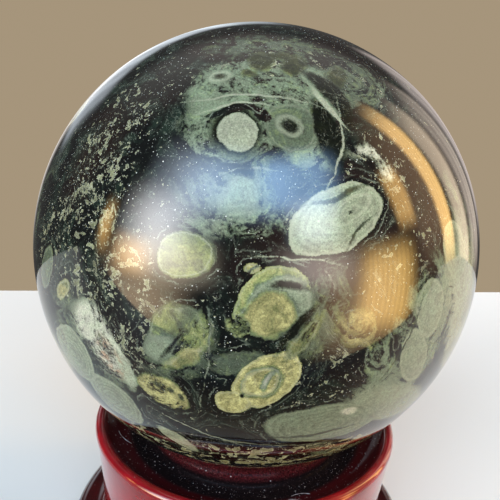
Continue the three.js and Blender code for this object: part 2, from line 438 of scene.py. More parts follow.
FRONT_MARKS = (
    # cores, lobes and dark parts inside the eyes
    Marking("big_eye_inner", 4.5, 3.4, 11.0, 9.0, 36, "sage", 0.5),
    Marking("big_eye_core_outline", 3.4, 2.0, 8.3, 7.9, 10, "deep_green", 0.4),
    Marking("big_eye_core", 3.2, 2.0, 7.6, 7.3, 10, "core", 0.5),
    Marking("big_eye_gap", 6.4, 7.3, 6.6, 1.3, -6, "black", 0.3, bend=0.5),
    Marking("big_eye_grey_lobe", -2.0, 0.0, 3.8, 3.4, 0, "scribble", 0.3),
    Marking("big_eye_dark_gap", 8.0, 0.0, 9.0, 1.5, 50, "black", 0.3, bend=0.5),
    Marking("big_eye_tail", 9.3, -2.3, 8.4, 2.4, 52, "brown", 0.3),
    Marking("lower_eye_heart_line", 2.9, -11.3, 7.2, 5.8, 43, "moss", 0.4),
    Marking("lower_eye_heart", 2.6, -11.3, 6.0, 4.6, 43, "yellow", 0.2),
    Marking("lower_eye_cream_spot", 3.2, -10.8, 3.4, 0.9, 66, "cream", 0.45, bend=0.8),
    Marking("lower_eye_notch", -0.4, -14.3, 1.3, 0.6, 80, "black", 0.2),
    Marking("leaf_eye_swirl", 17.4, 20.4, 8.4, 3.8, 32, "leaf", 0.35),
    Marking("leaf_eye_sliver", 15.6, 23.0, 8.8, 0.8, 20, "blotch", 0.2, bend=-0.9),
    Marking("leaf_eye_notch", 17.6, 20.0, 1.1, 0.6, 30, "black", 0.15),
    Marking("leaf_eye_line", 18.6, 16.8, 6.2, 0.35, 48, "blotch", 0.12, bend=2.0),
    Marking("left_lower_top", -15.0, -1.2, 7.0, 4.6, 60, "moss", 0.9),
    Marking("left_lower_scribble", -10.6, -4.4, 10.0, 5.0, 52, "scribble", 0.6),
    Marking("left_lower_core", -16.0, -6.2, 5.0, 3.4, 53, "sage", 0.8),
    Marking("left_lower_olive", -11.6, -8.0, 7.6, 2.4, 32, "olive", 0.6),
    Marking("left_lower_stripe", -13.6, -4.6, 7.6, 0.8, 52, "black", 0.3, bend=0.9),
    Marking("cored_eye_dark", 5.7, 35.8, 5.4, 4.8, 0, "dark_green", 0.5),
    Marking("cored_eye_ring", 5.7, 35.8, 4.0, 3.5, 0, "pale", 0.4),
    Marking("cored_eye_core", 5.7, 35.8, 3.0, 2.6, 0, "black", 0.5),
    Marking("pit_eye_rim", -12.7, 46.6, 4.2, 3.0, 10, "sage", 0.3),
    Marking("pit_eye_core", -12.7, 46.6, 1.9, 1.5, 10, "blotch", 0.25),
    Marking("top_blotch_left", -1.7, 51.8, 5.9, 4.3, -89, "blotch", 0.5),
    Marking("top_blotch_right", 7.7, 50.5, 5.5, 4.3, 53, "blotch", 0.5),
    Marking("top_blotch_join", 3.4, 53.6, 6.0, 2.2, 0, "blotch", 0.5),
    Marking("top_blotch_low", -4.6, 47.6, 2.6, 1.6, -20, "blotch", 0.4),
    Marking("right_top_core", 20.4, 48.4, 6.6, 3.2, 70, "blotch", 0.5),
    Marking("dark_crescent", -6.6, 38.4, 8.6, 1.5, 12, "ground", 0.25, bend=1.1),
    Marking("dark_right_of_upper_eye", 0.2, 37.0, 2.3, 2.1, 0, "ground", 0.3),
    Marking("dark_lens", 14.2, 34.6, 14.0, 4.2, -80, "black", 0.4),
    Marking("dark_lens_right", 17.6, 43.4, 12.8, 3.4, -60, "black", 0.35, bend=0.6),
    Marking("gap_right_of_middle_eye", 5.0, 25.6, 8.0, 4.5, -60, "ground", 1.2),
    Marking("bottom_long_eye_head", 21.6, -20.2, 3.3, 2.1, 10, "cream", 0.3),
    Marking("bottom_long_eye_line", 15.5, -26.6, 13.0, 0.7, 4, "blotch", 0.2, bend=-1.4),
    Marking("mottled_hole_a", -17.4, -14.9, 1.7, 1.2, -30, "blotch", 0.25),
    Marking("mottled_hole_b", -15.0, -15.9, 1.5, 1.2, -40, "blotch", 0.25),
    Marking("mottled_hole_c", -12.8, -17.0, 1.2, 1.0, -40, "blotch", 0.25),
    Marking("right_eye_line", 30.6, -5.2, 12.0, 0.4, 66, "blotch", 0.15, bend=-2.0),
    Marking("right_eye_dark", 27.8, -4.4, 3.6, 2.4, -60, "ground", 0.5),
    Marking("cream_clump_a", 22.7, 31.4, 6.4, 3.0, -13, "cream", 0.9, bend=0.6),
    Marking("cream_clump_b", 27.0, 27.6, 5.5, 3.4, -20, "cream", 1.0),
    # thin pale lines
    Marking("arc_thick", 15.7, 40.0, 9.4, 0.9, -58, "line", 0.15, 0.5, -0.8),
    Marking("arc_thin", 16.5, 31.3, 15.0, 0.42, -108, "line", 0.12, bend=6.0),
    Marking("crescent_line", -5.8, 39.6, 10.0, 0.4, 10, "line", 0.12, bend=3.0),
    Marking("flow_line_a", -3.6, 42.0, 17.0, 0.4, 4, "line", 0.15, bend=3.0),
    Marking("upright_line", -7.4, -10.0, 20.0, 0.34, 82, "faint_line", 0.12, bend=-4.0),
    Marking("vein_left", -1.2, 9.0, 5.6, 0.35, 48, "faint_line", 0.12, bend=2.0),
    Marking("vein_top", 6.4, 12.0, 13.0, 0.4, -3, "line", 0.15, bend=2.0),
    Marking("vein_right", 13.4, 8.6, 4.8, 0.35, -60, "faint_line", 0.12, bend=3.0),
    Marking("middle_eye_line", -2.2, 26.6, 9.0, 0.4, 6, "faint_line", 0.15, bend=3.0),
    Marking("bottom_arc", 5.0, -29.5, 26.0, 0.5, -6, "faint_line", 0.15, bend=4.0),
    Marking("tongue_line", -10.5, -26.0, 18.0, 0.4, -24, "line", 0.15, bend=2.0),
)

# Patches stained with rust: azimuth, elevation, length, width, turn, strength
RUST_PATCHES = (
    (-28.0, -11.6, 8.5, 4.6, -66, 0.75),
    (-150.0, 12.0, 10.0, 6.0, 20, 0.6),
)

# Patches that hold cream flecks: azimuth, elevation, length, width, turn, strength
FLECK_PATCHES = (
    (-33.1, 38.1, 16.0, 9.0, -34, 0.8),
    (-34.1, 26.0, 20.0, 11.0, -32, 1.0),
    (-33.6, 16.4, 20.0, 12.0, -32, 1.0),
    (-30.5, 5.8, 22.0, 15.0, 16, 1.0),
    (-44.0, 12.0, 24.0, 12.0, 30, 0.9),
    (-22.0, 0.0, 16.0, 12.0, 0, 0.8),
    (-20.0, 44.0, 18.0, 9.0, -30, 0.5),
    (-16.0, 26.0, 10.0, 16.0, -20, 0.4),
    (-24.0, -8.0, 18.0, 12.0, -60, 0.9),
    (-9.0, -4.0, 8.0, 16.0, 0, 0.6),
    (13.0, -9.0, 16.0, 12.0, 0, 0.6),
    (24.0, -17.0, 18.0, 9.0, 0, 0.5),
    (26.0, 28.0, 18.0, 14.0, 0, 0.7),
    (30.0, 12.0, 14.0, 12.0, 0, 0.5),
    (8.0, 52.0, 30.0, 12.0, 0, 0.6),
    (-70.0, -20.0, 30.0, 18.0, 20, 0.6),
    (90.0, 20.0, 34.0, 20.0, -30, 0.7),
    (150.0, -10.0, 30.0, 22.0, 40, 0.8),
    (-140.0, 30.0, 36.0, 20.0, -20, 0.7),
    (-120.0, -30.0, 24.0, 16.0, 0, 0.6),
)

# Cream flecks: scale, detail, roughness and distortion of their noise, how ragged they are, how much they
# gather in patches, and how rare they are
FLECK_SIZES = (
    (0.62, 3.0, 0.60, 0.3, 0.14, 0.13, 0.70),
    (1.50, 2.0, 0.50, 0.0, 0.10, 0.10, 0.74),
    (0.33, 4.0, 0.66, 0.6, 0.10, 0.13, 0.70),
)

# Fine pale specks: how many cells to a millimetre, size as a share of a cell, colour
SPECKS = (
    (1.15, 0.16, (0.66, 0.68, 0.60)),
    (2.2, 0.24, (0.42, 0.45, 0.38)),
)


def direction(azimuth, elevation):
    """The outward direction of a place on the sphere."""
    a, e = math.radians(azimuth), math.radians(elevation)
    return Vector((math.sin(a) * math.cos(e), -math.cos(a) * math.cos(e), math.sin(e)))


def lie_of(azimuth, elevation, turn):
    """Directions along, across and out of the surface there, turned from the east towards the north."""
    out = direction(azimuth, elevation)
    east = Vector((0, 0, 1)).cross(out).normalized()
    north = out.cross(east)
    t = math.radians(turn)
    along = east * math.cos(t) + north * math.sin(t)
    return along, out.cross(along), out


def axes_turn(azimuth, elevation, turn):
    """The turn that a Mapping node needs for axes that lie along, across and out of the surface there."""
    return Matrix(lie_of(azimuth, elevation, turn)).transposed().to_euler()


VECTOR, NUMBER = "NodeSocketVector", "NodeSocketFloat"
MARKING_INPUTS = {
    "Place": VECTOR, "Look": VECTOR, "Lines": VECTOR, "Nearest": NUMBER, "Ragged": NUMBER,
    "Centre": VECTOR, "Along": VECTOR, "Across": VECTOR, "Out": VECTOR, "Fill": VECTOR,
    "Rings": NUMBER, "Rim": NUMBER, "Width": NUMBER, "Softness": NUMBER, "Taper": NUMBER, "Bend": NUMBER,
}
MARKING_OUTPUTS = {"Look": VECTOR, "Lines": VECTOR, "Nearest": NUMBER}
EYES_MELT = 1.2  # mm over which the distances to two eyes run into each other


def marking_group(name, shaped):
    """A node group that lays one rounded marking over what came before it."""
    tree = bpy.data.node_groups.get(name)
    if tree:
        return tree
    tree = bpy.data.node_groups.new(name, "ShaderNodeTree")
    for in_out, sockets in (("INPUT", MARKING_INPUTS), ("OUTPUT", MARKING_OUTPUTS)):
        for socket, kind in sockets.items():
            tree.interface.new_socket(socket, in_out=in_out, socket_type=kind)
    w = Wiring(tree)
    given = tree.nodes.new("NodeGroupInput").outputs
    local = w.vector("SUBTRACT", given["Place"], given["Centre"])
    x = w.vector("DOT_PRODUCT", local, given["Along"])
    y = w.vector("DOT_PRODUCT", local, given["Across"])
    z = w.vector("DOT_PRODUCT", local, given["Out"])
    if shaped:
        y = w.times(y, w.times_add(x, given["Taper"], 1.0))
        y = w.times_add(w.times(x, x), given["Bend"], y)
    reach = w.subtract(w.vector("LENGTH", w.combine(x, y, z)), 1.0)
    reach = w.times_add(reach, given["Width"], given["Ragged"])
    mask = w.step(reach, given["Softness"], w.times(given["Softness"], -1.0))
    look = w.mix_vectors(mask, given["Look"], given["Fill"])
    lines = w.mix_vectors(mask, given["Lines"], w.combine(reach, given["Rings"], given["Rim"]))
    nearest = w.math("SMOOTH_MIN", given["Nearest"], reach, EYES_MELT)
    w.feed(tree.nodes.new("NodeGroupOutput"), {"Look": look, "Lines": lines, "Nearest": nearest})
    return tree


# Each part of the stone's surface has a finish of its own, which holds only the markings that reach it.
# A zone is what lies nearest to its direction.
ZONES = {
    "front_upper_left": direction(-25, 28),
    "front_upper_right": direction(25, 28),
    "front_lower_left": direction(-25, -18),
    "front_lower_right": direction(25, -18),
    "left": direction(-95, 5),
    "right": direction(95, 5),
    "back": direction(180, 0),
    "top": direction(0, 85),
    "underside": direction(0, -80),
}
ZONE_MARGIN = 8.5  # mm past a zone's edge within which a marking still counts


def zone_of(out):
    """The number of the zone that an outward direction lies in."""
    middles = tuple(ZONES.values())
    return max(range(len(middles)), key=lambda number: out.dot(middles[number]))


def reaches(zone, azimuth, elevation, half_length, half_width, radius):
    """True if a marking of that size touches the zone or its margin."""
    out = direction(azimuth, elevation)
    spare = math.sin(min((math.hypot(half_length, half_width) + ZONE_MARGIN) / radius, math.pi / 2))
    for other, middle in ZONES.items():
        apart = ZONES[zone] - middle
        if other != zone and out.dot(apart) < -spare * apart.length:
            return False
    return True


class Markings:
    """The chain of markings in one zone: each lies over the ones before it."""

    def __init__(self, wiring, place, ragged, zone):
        self.w = wiring
        self.place = place
        self.ragged = ragged
        self.zone = zone
        self.plain = marking_group("Jasper marking", shaped=False)
        self.shaped = marking_group("Jasper shaped marking", shaped=True)
        # Bare ground: middle tone, no light, no cover, and 5 or 6 mm outside the nearest marking
        self.look = wiring.combine(0.5, 0.0, 0.0)
        self.lines = wiring.combine(5.0, 0.0, 0.0)
        self.nearest = 6.0

    def lay(self, marking, radius, counts=True):
        """Lays a marking over the chain. The ground's flow goes round one that counts."""
        a, b = marking.length / 2, marking.width / 2
        if not reaches(self.zone, marking.azimuth, marking.elevation, a, b * (1 + abs(marking.bend)), radius):
            return
        along, across, out = lie_of(marking.azimuth, marking.elevation, marking.turn)
        tone, light, cover, rings, rim = FILLS[marking.fill]
        inputs = {
            "Place": self.place, "Look": self.look, "Lines": self.lines, "Nearest": self.nearest,
            "Ragged": self.ragged, "Centre": out * radius, "Along": along / a, "Across": across / b,
            "Out": out / a, "Fill": (tone, light, cover), "Rings": rings, "Rim": rim,
            "Width": min(b, 0.8 * math.sqrt(a * b)), "Softness": marking.softness,
            "Taper": marking.taper, "Bend": marking.bend,
        }
        tree = self.shaped if marking.taper or marking.bend else self.plain
        laid = self.w.node("ShaderNodeGroup", inputs, node_tree=tree, label=marking.name).node.outputs
        self.look, self.lines = laid["Look"], laid["Lines"]
        if counts:
            self.nearest = laid["Nearest"]


# The stone away from the front is filled by chance, with a fixed seed.
FRONT = direction(0, 8)
UNSEEN_FIELDS = 14
UNSEEN_EYES = 52
UNSEEN_TRIES = 1500
FIELDS_START = 0.35  # cosine of the angle from the front within which no field is added
EYES_START = 0.50  # the same for the eyes
CORED_SHARE = 0.7  # of the eyes, that have a core
EYE_GAP = 0.4  # mm between two eyes
EYE_FILLS = ("sage", "ringed", "green", "bright_green", "deep_green", "olive", "yellow", "sage")
CORE_FILLS = ("olive", "sage", "pale", "blotch", "deep_green")


def unseen_markings(seed, radius):
    """Fields, eyes and their cores for the rest of the sphere, kept clear of the markings on the front."""
    rng = random.Random(seed)
    taken = [
        (direction(m.azimuth, m.elevation), (m.length + m.width) / 4)
        for m in (*FRONT_FIELDS, *FRONT_EYES, *FRONT_MARKS)
    ]
    fields, eyes, cores = [], [], []
    while len(fields) < UNSEEN_FIELDS:
        azimuth, elevation = rng.uniform(-180.0, 180.0), rng.uniform(-70.0, 70.0)
        if direction(azimuth, elevation).dot(FRONT) > FIELDS_START:
            continue
        length, width, turn = rng.uniform(22.0, 44.0), rng.uniform(10.0, 18.0), rng.uniform(-60.0, 60.0)
        fill = rng.choice(("flow", "dark_flow", "dark_flow"))
        fields.append(Marking(f"field_{len(fields)}", azimuth, elevation, length, width, turn, fill, 2.0))
    for _ in range(UNSEEN_TRIES):
        if len(eyes) == UNSEEN_EYES:
            break
        elevation = math.degrees(math.asin(rng.uniform(-1.0, 1.0)))
        azimuth = rng.uniform(-180.0, 180.0)
        length = 6.0 + 17.0 * rng.random() ** 1.5
        width = length * rng.uniform(0.5, 0.85)
        out = direction(azimuth, elevation)
        size = (length + width) / 4
        if out.dot(FRONT) > EYES_START:
            continue
        if any((out - other).length * radius < reach + size + EYE_GAP for other, reach in taken):
            continue
        taken.append((out, size))
        turn = rng.uniform(-90.0, 90.0)
        fill = rng.choice(EYE_FILLS)
        number = len(eyes)
        taper = rng.uniform(-0.2, 0.2)
        eyes.append(Marking(f"eye_{number}", azimuth, elevation, length, width, turn, fill, 0.15, taper))
        if rng.random() < CORED_SHARE:
            shrink = rng.uniform(0.45, 0.62)
            core = rng.choice(CORE_FILLS)
            for name, share, border, filling, softness in (
                ("outline", shrink * 1.1, 0.6, "blotch", 0.3), ("core", shrink, 0.0, core, 0.25),
            ):
                cores.append(Marking(
                    f"{name}_{number}", azimuth, elevation, length * share + border, width * share + border,
                    turn, filling, softness))
    return fields, eyes, cores


# Polished stone

class JasperFinish:
    """The finish of one zone of the sphere. Its methods add the stone's layers, in the order given here."""

    def __init__(self, settings, zone):
        self.material, self.w, self.shader = new_material(f"polished_jasper_{zone}")
        self.settings = settings
        self.zone = zone
        self.radius = settings.radius / MM

    def set_flow(self):
        """The stone flowed before it set, so every marking is pushed about a little."""
        w = self.w
        place = w.mapping(w.object_place(), (0, 0, self.settings.centre_height), scale=(MM, MM, MM))
        middle = (0.5, 0.5, 0.5)
        broad = w.vector("SUBTRACT", w.noise(place, scale=0.11, detail=1.0, out="Color"), middle)
        fine = w.vector("SUBTRACT", w.noise(place, scale=0.42, detail=1.5, out="Color"), middle)
        flowed = w.vector("ADD", place, w.scaled(broad, 2.2))
        self.place, self.flowed = place, w.vector("ADD", flowed, w.scaled(fine, 0.9))
        self.grain = w.noise(place, scale=2.8, detail=3.0, roughness=0.7)

    def lay_markings(self, fields, eyes, cores):
        """Fields lie under the eyes, and cores and lines over them. Those of the front lie on top."""
        w = self.w
        marks = Markings(w, self.flowed, w.times_add(self.grain, 0.6, -0.3), self.zone)
        for marking in (*fields, *FRONT_FIELDS):
            marks.lay(marking, self.radius, counts=False)
        for marking in (*eyes, *FRONT_EYES):
            marks.lay(marking, self.radius)
        for marking in (*cores, *FRONT_MARKS):
            marks.lay(marking, self.radius, counts=False)
        self.tone, self.light, cover = w.separate(marks.look)
        self.reach, self.rings, self.rim = w.separate(marks.lines)
        self.near = marks.nearest

        # The ground's flow wraps round the eyes, and breaks up the fields that only partly cover it.
        wrap = w.combine(w.times(self.near, 1.5), 0.0, w.times(self.near, -1.5))
        self.wrapped = w.vector("ADD", self.flowed, wrap)
        self.swirl = w.noise(self.wrapped, scale=0.17, detail=5.0, roughness=0.62, distortion=1.3)
        self.grit = w.noise(self.place, scale=1.25, detail=5.0, roughness=0.78)
        spread = w.times(w.times(cover, w.subtract(1.0, cover)), 16.0)
        broken = w.times_add(w.subtract(self.grit, 0.5), 0.6, w.subtract(self.swirl, 0.5))
        self.cover = w.step(w.times_add(broken, w.times(spread, 0.95), cover), 0.18, 0.82)

    def ground(self):
        """The nearly black ground, clouded with smoky green and brown, streaked and gritty."""
        w, settings = self.w, self.settings
        ground = w.mix_colours(w.step(self.swirl, 0.44, 0.66), tuple(settings.ground), tuple(settings.smoke))
        sideways, _, self.height = w.separate(self.place)
        earth = w.step(w.times_add(sideways, 0.004, w.noise(self.place, scale=0.05)), 0.45, 0.62)
        ground = w.mix_colours(w.times(earth, 0.65), ground, EARTH_BROWN)
        slanted = w.mapping(self.flowed, turn=(0, math.radians(-35), 0), scale=(3.0, 2.0, 1.0))
        wisps = w.noise(slanted, scale=0.9, detail=5.0, roughness=0.7, distortion=1.0)
        ground = w.mix_colours(w.step(wisps, 0.54, 0.76, 0.0, 0.35), ground, WISP_GREEN)
        ground = w.mix_colours(w.step(self.grit, 0.60, 0.76, 0.0, 0.8), ground, GRIT_GREY)

        # Fine pale threads drawn out by the flow
        threads = w.noise(self.wrapped, scale=0.30, detail=4.0, roughness=0.58, distortion=2.0)
        thread = w.step(w.size_of(w.subtract(threads, 0.5)), 0.022, 0.002)
        self.thread = w.times(thread, w.step(self.swirl, 0.46, 0.64))
        ground = w.mix_colours(w.times(self.thread, 0.6), ground, THREAD_GREEN)

        # Each eye has a dark edge, and thin pale lines follow it outside.
        self.loose = w.noise(self.flowed, scale=0.42)
        waves = w.times_add(self.near, 5.6, w.times(self.loose, 7.0))
        contour = w.step(w.math("SINE", waves), 0.72, 1.0)
        contour = w.times(contour, w.step(self.near, 3.0, 0.3))
        contour = w.times(contour, w.step(self.loose, 0.44, 0.60))
        ground = w.mix_colours(w.times(contour, 0.6), ground, CONTOUR_GREEN)
        edge = w.step(w.size_of(w.subtract(self.near, 0.22)), 0.30, 0.08)
        return w.mix_colours(w.times(edge, 0.85), ground, EDGE_BLACK)

    def filling(self):
        """The inside of the markings: cloudy, granular, faintly ringed, pale at the rim, rusty in patches."""
        w = self.w
        self.cloud = w.noise(self.flowed, scale=0.42, detail=4.0, roughness=0.66, distortion=0.8)
        tone = w.add(self.tone, w.ramp(self.cloud, 0.32, 0.68, -0.09, 0.09))
        body = w.colour_ramp(tone, STONE_COLOURS)
        fine_grain = w.noise(self.place, scale=4.5, detail=2.0, roughness=0.6)
        both_grains = w.times_add(self.grain, 0.5, w.times(fine_grain, 0.5))
        self.mottle = w.ramp(both_grains, 0.36, 0.64, 0.62, 1.38)
        patchy = w.ramp(self.cloud, 0.36, 0.64, 0.66, 1.32)
        ripples = w.times_add(self.reach, 7.5, w.times(self.loose, 9.0))
        rippled = w.times_add(w.times(w.math("SINE", ripples), self.rings), 0.30, 1.0)
        body = w.scaled(body, w.times(w.times(self.mottle, patchy), w.times(rippled, self.light)))
        rim_line = w.step(w.size_of(w.add(self.reach, 0.25)), 0.24, 0.05)
        body = w.mix_colours(w.times(w.times(rim_line, self.rim), 0.7), body, RIM_CREAM)
        body = w.mix_colours(w.times(self.thread, w.times(self.cover, 0.35)), body, VEIN_CREAM)
        for distance, strength in self.patches(RUST_PATCHES, self.flowed):
            rust = w.times(w.step(distance, 1.3, 0.5, 0.0, strength), w.step(self.loose, 0.40, 0.56))
            body = w.mix_colours(rust, body, w.scaled(RUST, self.mottle))
        return body

    def patches(self, table, place):
        """How far from the middle of each patch in this zone a place is, 1 at its edge, and its strength."""
        for azimuth, elevation, length, width, turn, strength in table:
            if reaches(self.zone, azimuth, elevation, length * 0.7, width * 0.7, self.radius):
                middle = direction(azimuth, elevation) * self.radius
                size = (length / 2, width / 2, length / 2)
                local = self.w.mapping(place, middle, axes_turn(azimuth, elevation, turn), size)
                yield self.w.vector("LENGTH", local), strength

    def flecks(self, colour):
        """Cream flecks in three sizes gather in patches, and streaks low down. They are olive within, and
        painted brighter low down as painted light against the shade there.
        """
        w = self.w
        self.crowd = w.noise(self.flowed, scale=0.14, detail=3.0, roughness=0.6)
        patches = 0.08
        for distance, strength in self.patches(FLECK_PATCHES, self.place):
            patches = w.highest(patches, w.step(distance, 1.4, 0.5, 0.0, strength))
        layers = []
        for scale, detail, roughness, distortion, ragged, gather, rarity in FLECK_SIZES:
            lumps = w.noise(self.flowed, scale, detail, roughness, distortion)
            grainy = w.subtract(self.grain, 0.5)
            level = w.subtract(lumps, w.times_add(patches, -gather, rarity))
            layers.append(w.times_add(grainy, ragged, level))
        streaks = w.noise(self.flowed, scale=0.40, detail=4.0, roughness=0.62, distortion=0.8)
        crowded = w.subtract(self.crowd, 0.5)
        level = w.subtract(streaks, w.step(self.height, -22.0, -27.0, 1.0, 0.53))
        layers.append(w.times_add(crowded, 0.2, level))
        inside = w.highest(w.highest(layers[0], layers[1]), w.highest(layers[2], layers[3]))
        fleck = w.times(w.step(inside, 0.0, 0.03), w.step(self.cover, 0.8, 0.3, 0.1, 1.0))
        shade = w.mix_colours(w.step(inside, 0.02, 0.07), tuple(self.settings.fleck), FLECK_OLIVE)
        # Painted light: below the middle the flecks are painted up to 2.2 times brighter.
        cloud_and_painted_light = w.times(w.ramp(self.cloud, 0.38, 0.62, 0.55, 1.3), w.step(self.height, -24.0, -29.0, 1.0, 2.2))
        shade = w.scaled(shade, cloud_and_painted_light)
        return w.mix_colours(w.times(fleck, 0.92), colour, w.scaled(shade, self.mottle))

    def specks(self, colour):
        """Fine pale specks in two sizes, stronger in the ground and crowded in places."""
        w = self.w
        for scale, size, speck_colour in SPECKS:
            cell, which, rest = w.cells(self.place, scale)
            spot = w.step(cell, size, size * 0.45)
            spot = w.times(spot, w.step(which, 0.25, 0.9))
            spot = w.times(spot, w.ramp(rest, 0.0, 1.0, 0.2, 1.0))
            spot = w.times(spot, w.step(self.cover, 1.0, 0.0, 0.3, 1.0))
            spot = w.times(spot, w.step(self.crowd, 0.40, 0.60, 0.15, 1.0))
            colour = w.mix_colours(spot, colour, speck_colour)
        return colour

    def polish(self, colour):
        """The polish is a mirror with hardly any unevenness."""
        self.w.feed(self.shader, {
            "Base Color": colour,
            "Roughness": self.w.ramp(self.grain, 0.3, 0.7, 0.03, 0.07),
            "IOR": 1.54,
            "Normal": self.w.bump(self.cloud, strength=0.02, distance=0.4 * MM),
        })


def jasper_material(settings, zone, unseen):
    stone = JasperFinish(settings, zone)
    stone.set_flow()
    stone.lay_markings(*unseen)
    ground = stone.ground()
    colour = stone.w.mix_colours(stone.cover, ground, stone.filling())
    colour = stone.flecks(colour)
    colour = stone.specks(colour)
    stone.polish(colour)
    return stone.material


# Lacquer and dust

WORN_DARK = (0.012, 0.001, 0.0012)
WORN_RED = (0.075, 0.0065, 0.0075)
LINT_PINK = (0.36, 0.14, 0.12)
GROOVE_BLACK = (0.002, 0.0015, 0.0015)
DUST_BROWN = (0.09, 0.05, 0.045)
DUST_PALE = (0.5, 0.40, 0.36)
DUST_COLOURS = ((0.3, (0.16, 0.09, 0.08)), (0.5, (0.26, 0.20, 0.18)), (0.7, (0.50, 0.46, 0.44)))


def lacquer_material(stand):
    """Gloss red lacquer. Sizes and heights in it are in millimetres."""
    material, w, shader = new_material("red_lacquer")
    place = w.mapping(w.object_place(), scale=(MM, MM, MM))
    x, y, z = w.separate(place)
    radius = w.vector("LENGTH", w.combine(x, y, 0.0))
    lip, ring, groove = stand.lip_radius / MM, stand.ring_radius / MM, stand.groove_radius / MM

    # The wood shows faintly as darker rings. The lacquer is painted darker towards the foot and near black in
    # the dish, as painted shade over the low foot and under the sphere.
    mottle = w.noise(place, scale=0.12, detail=3.0)
    figure = w.noise(w.mapping(place, scale=(6.0, 6.0, 0.6)), scale=1.0, detail=4.0, roughness=0.6)
    bright = tuple(stand.lacquer)
    red = w.mix_colours(w.step(mottle, 0.35, 0.65), bright, tuple(c * 0.65 for c in bright))
    red = w.scaled(red, w.ramp(figure, 0.35, 0.65, 0.8, 1.1))
    # Painted shade: the lacquer is darkened towards the foot.
    red = w.scaled(red, w.step(z, 6.5, 12.0, 0.16, 1.0))
    # Painted shade: the dish under the sphere is painted near black, from just inside the lip.
    inside = w.times(w.step(radius, lip - 1.4, lip - 3.4), w.step(z, 24.0, 26.0))
    colour = w.mix_colours(inside, red, tuple(stand.dish))

    # The ring that carries the sphere is rubbed and dusty, and the groove round it is nearly black with brown
    # flecks.
    fuzz = w.noise(place, scale=2.6, detail=4.0, roughness=0.7)
    on_ring = w.times(w.step(w.size_of(w.subtract(radius, ring + 0.7)), 3.4, 1.2), w.step(z, 29.8, 31.2))
    worn = w.mix_colours(w.step(fuzz, 0.40, 0.62), WORN_DARK, WORN_RED)
    lint = w.step(w.noise(place, scale=5.0, detail=3.0, roughness=0.7), 0.60, 0.70)
    worn = w.mix_colours(w.times(lint, 0.8), worn, LINT_PINK)
    colour = w.mix_colours(w.times(on_ring, 0.9), colour, worn)
    in_groove = w.step(w.size_of(w.subtract(radius, groove + 0.9)), 3.8, 2.0)
    in_groove = w.times(in_groove, w.step(z, 32.6, 30.8))
    dust = w.mix_colours(w.step(fuzz, 0.55, 0.78), GROOVE_BLACK, DUST_BROWN)
    colour = w.mix_colours(w.times(in_groove, 0.95), colour, dust)

    # Specks of dust in the dish and a few on the wall
    cell, which, _ = w.cells(place, 0.9)
    speck = w.times(w.step(cell, 0.17, 0.07), w.step(which, 0.5, 0.9))
    speck = w.times(speck, w.mix(inside, 0.12, 0.85))
    colour = w.mix_colours(speck, colour, DUST_PALE)

    # The coat of lacquer is worn off the ring and dusty in the dish, and clear everywhere else.
    dull = w.highest(w.times(on_ring, 0.97), w.times(in_groove, 0.98))
    dull = w.highest(dull, w.times(inside, w.step(fuzz, 0.35, 0.7, 0.72, 0.95)))
    roughness = w.mix(dull, w.ramp(mottle, 0.3, 0.7, 0.14, 0.26), 0.85)
    coat = w.subtract(1.0, dull)
    uneven = w.times(w.noise(place, scale=0.35), 0.6)
    height = w.add(uneven, w.times(fuzz, w.highest(on_ring, w.times(in_groove, 0.8))))
    w.feed(shader, {
        "Base Color": colour,
        "Roughness": roughness,
        "IOR": 1.5,
        "Specular IOR Level": 0.05,
        "Coat Weight": coat,
        "Coat Roughness": 0.03,
        "Coat IOR": 1.5,
        "Normal": w.bump(height, strength=0.25, distance=0.2 * MM),
    })
    return material


def lint_material():
    material, w, shader = new_material("dust_and_lint")
    place = w.object_place()
    patch = w.noise(place, scale=900.0)
    w.feed(shader, {
        "Base Color": w.colour_ramp(patch, DUST_COLOURS),
        "Roughness": w.ramp(patch, 0.3, 0.7, 0.6, 0.9),
        "Normal": w.bump(w.noise(place, scale=4000.0), strength=0.3, distance=0.1 * MM),
    })
    return material


# Shapes

def finished_piece(name, bm, materials):
    """Makes a smooth object of a bmesh whose faces point outwards, and gives it its finishes."""
    bmesh.ops.remove_doubles(bm, verts=bm.verts, dist=WELD_DISTANCE)
    bmesh.ops.recalc_face_normals(bm, faces=bm.faces)
    for face in bm.faces:
        face.smooth = True
    mesh = bpy.data.meshes.new(name)
    bm.to_mesh(mesh)
    bm.free()
    for material in materials:
        mesh.materials.append(material)
    piece = bpy.data.objects.new(name, mesh)
    bpy.context.scene.collection.objects.link(piece)
    return piece


def point_at(centre, radius, degrees):
    angle = math.radians(degrees)
    return centre[0] + radius * math.cos(angle), centre[1] + radius * math.sin(angle)


def arc(centre, radius, start, end, steps):
    """Points round part of a circle in the section of the stand, from start to end degrees."""
    return [point_at(centre, radius, start + (end - start) * step / steps) for step in range(steps + 1)]


def bend(start, middle, end, steps):
    """Points along a curve from start to end that leans towards middle."""
    points = []
    for step in range(steps + 1):
        t = step / steps
        weights = ((1 - t) ** 2, 2 * t * (1 - t), t * t)
        points.append(tuple(sum(k * p[i] for k, p in zip(weights, (start, middle, end))) for i in range(2)))
    return points


